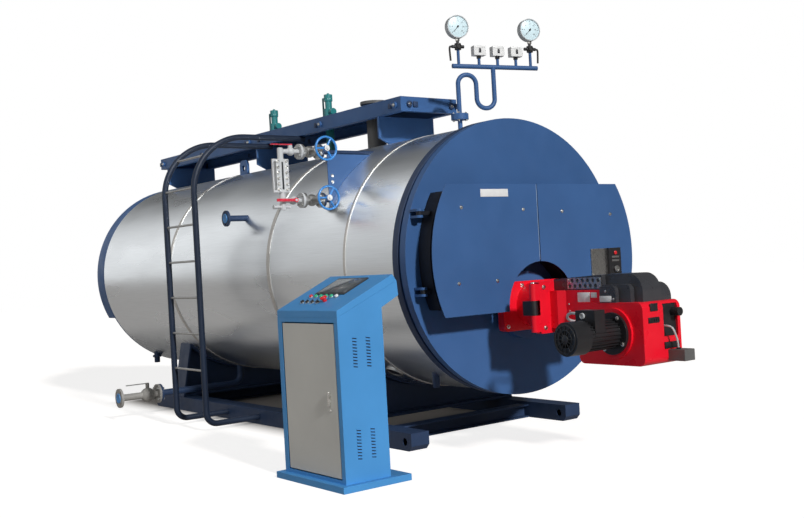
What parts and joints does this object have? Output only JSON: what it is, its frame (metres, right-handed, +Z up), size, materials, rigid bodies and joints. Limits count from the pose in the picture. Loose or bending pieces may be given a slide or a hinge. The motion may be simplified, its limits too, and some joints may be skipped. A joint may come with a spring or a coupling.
{
  "type": "industrial steam boiler",
  "caption": "Horizontal packaged steam boiler on a skid: clad drum, hinged front doors, swing-out burner, top platform, ladder, valves, gauges and a free-standing control desk.",
  "frame": {"origin": "middle of the front cross beam's underside, on the floor under the drum's axis", "axes": "+X out of the burner front along the drum, -Y to the ladder and control desk side, +Z up"},
  "size_m": [7.149, 2.6919, 3.042],
  "materials": {
    "blue_paint": "semi-gloss steel-blue paint",
    "stainless": "brushed stainless sheet",
    "dark_plastic": "matt black",
    "red_paint": "gloss red",
    "grey_metal": "satin grey",
    "white_plastic": "white moulding",
    "green_paint": "teal green enamel",
    "wheel_blue": "bright blue enamel",
    "desk_blue": "bright blue powder coat",
    "button_plastic": "coloured moulding"
  },
  "bodies": {
    "boiler": {"blowdown_pipe": "blue_paint", "blowdown_valve": "stainless", "burner_flange": "red_paint", "burner_hinge": "dark_plastic", "cladding_bands": "stainless", "cross_beams": "blue_paint", "desk_buttons": "button_plastic", "desk_cabinet": "desk_blue", "desk_lid": "desk_blue", "desk_plinth": "desk_blue", "desk_screen": "dark_plastic", "feed_nozzle": "blue_paint", "front_flange": "blue_paint", "front_plate": "blue_paint", "furnace_plate": "blue_paint", "gauge_bracket": "blue_paint", "gauge_cocks": "dark_plastic", "gauge_column": "stainless", "gauge_pipes": "blue_paint", "gauge_siphon": "blue_paint", "gauge_valves": "stainless", "hinge_lugs": "blue_paint", "ladder_rungs": "stainless", "ladder_stiles": "blue_paint", "lifting_lugs": "blue_paint", "platform_deck": "blue_paint", "platform_frame": "blue_paint", "platform_supports": "blue_paint", "pressure_gauges": "grey_metal", "pressure_switches": "white_plastic", "rear_cover": "blue_paint", "rear_plate": "blue_paint", "runners": "blue_paint", "saddles": "blue_paint", "safety_valves": "green_paint", "shell": "stainless", "stand_pipe": "blue_paint", "steam_outlet": "blue_paint", "water_gauge_cocks": "stainless"},
    "left_door": {"door_left": "blue_paint", "door_cover_left": "blue_paint"},
    "right_door": {"door_right": "blue_paint", "door_cover_right": "blue_paint", "instrument_plate": "stainless", "door_controller": "dark_plastic"},
    "burner": {"burner_body": "red_paint", "burner_panel": "dark_plastic", "burner_hood": "dark_plastic", "burner_grille": "grey_metal", "burner_motor": "dark_plastic", "damper_drive": "grey_metal"},
    "desk_door": {"desk_door": "grey_metal", "desk_handle": "stainless"},
    "lower_wheel": {"handwheel_lower": "wheel_blue"},
    "upper_wheel": {"handwheel_upper": "wheel_blue"},
    "lower_lever": {"gauge_lever_lower": "red_paint"},
    "upper_lever": {"gauge_lever_upper": "red_paint"},
    "drain_lever": {"blowdown_lever": "dark_plastic"}
  },
  "joints": [
    {"name": "left_door_hinge", "type": "hinge", "parent": "boiler", "child": "left_door", "pos_m": [0.853, -0.872, 1.317], "axis": [0, 0, -1], "range_deg": [0, 110]},
    {"name": "right_door_hinge", "type": "hinge", "parent": "boiler", "child": "right_door", "pos_m": [0.853, 0.872, 1.317], "axis": [0, 0, 1], "range_deg": [0, 110]},
    {"name": "burner_swing", "type": "hinge", "parent": "boiler", "child": "burner", "pos_m": [1.283, -0.33, 0.925], "axis": [0, 0, 1], "range_deg": [-60, 0]},
    {"name": "desk_door_hinge", "type": "hinge", "parent": "boiler", "child": "desk_door", "pos_m": [0.543, -1.692, 0.503], "axis": [0, 0, -1], "range_deg": [0, 105]},
    {"name": "lower_wheel_turn", "type": "hinge", "parent": "boiler", "child": "lower_wheel", "pos_m": [-0.114, -0.945, 1.74], "axis": [1, 0, 0], "range_deg": [0, 720]},
    {"name": "upper_wheel_turn", "type": "hinge", "parent": "boiler", "child": "upper_wheel", "pos_m": [-0.114, -0.945, 2.085], "axis": [1, 0, 0], "range_deg": [0, 720]},
    {"name": "lower_lever_turn", "type": "hinge", "parent": "boiler", "child": "lower_lever", "pos_m": [-0.3057, -1.095, 1.74], "axis": [1, 0, 0], "range_deg": [0, 90]},
    {"name": "upper_lever_turn", "type": "hinge", "parent": "boiler", "child": "upper_lever", "pos_m": [-0.35, -1.095, 2.1293], "axis": [0, 0, 1], "range_deg": [0, 90]},
    {"name": "drain_lever_turn", "type": "hinge", "parent": "boiler", "child": "drain_lever", "pos_m": [-3.075, -1.16, 0.3033], "axis": [0, 0, 1], "range_deg": [0, 90]}
  ]
}
